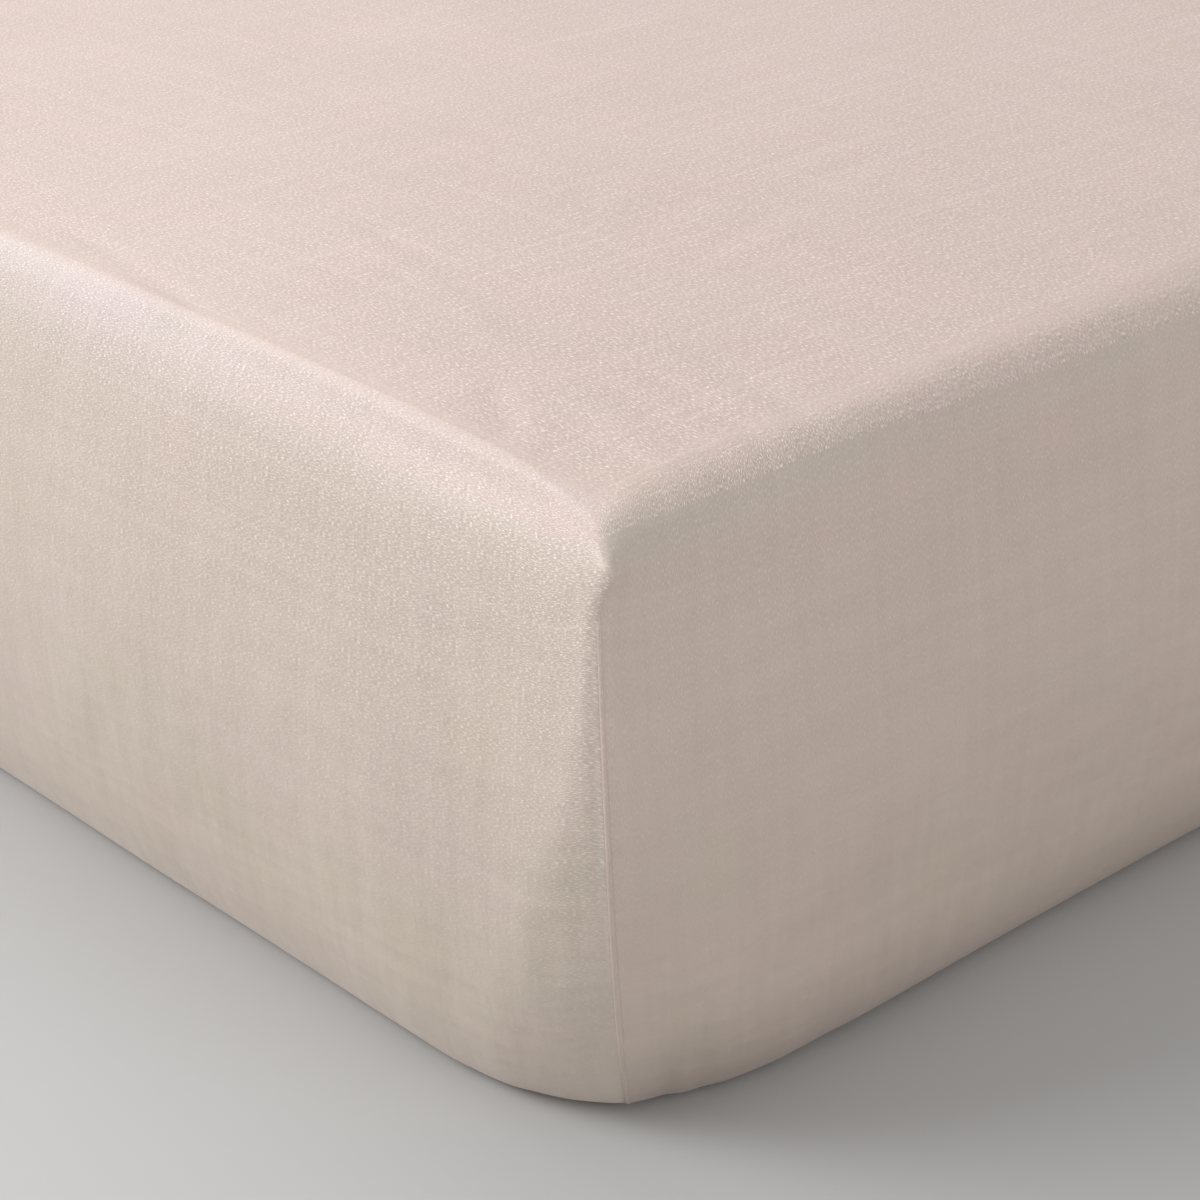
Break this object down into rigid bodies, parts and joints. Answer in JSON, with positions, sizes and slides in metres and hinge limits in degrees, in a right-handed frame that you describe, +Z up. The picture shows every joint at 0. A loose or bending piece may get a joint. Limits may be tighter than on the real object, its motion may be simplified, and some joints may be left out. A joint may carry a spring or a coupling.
{
  "type": "fitted sheet on a mattress",
  "caption": "Box-cornered fitted sheet stretched over a plain single mattress, with a thin raised seam down each corner and a gathered hem turned underneath.",
  "frame": {"origin": "under the middle of the base, at the height of the surface that the hem rests on", "axes": "+Z up, +Y along the mattress towards its head, +X across it towards the long side that the picture shows"},
  "size_m": [0.9356, 1.9348, 0.3142],
  "materials": {
    "sateen": "smooth sateen with a soft sheen",
    "ticking": "plain matt weave"
  },
  "bodies": {
    "root": {"fitted_sheet": "sateen", "mattress": "ticking"}
  },
  "joints": []
}
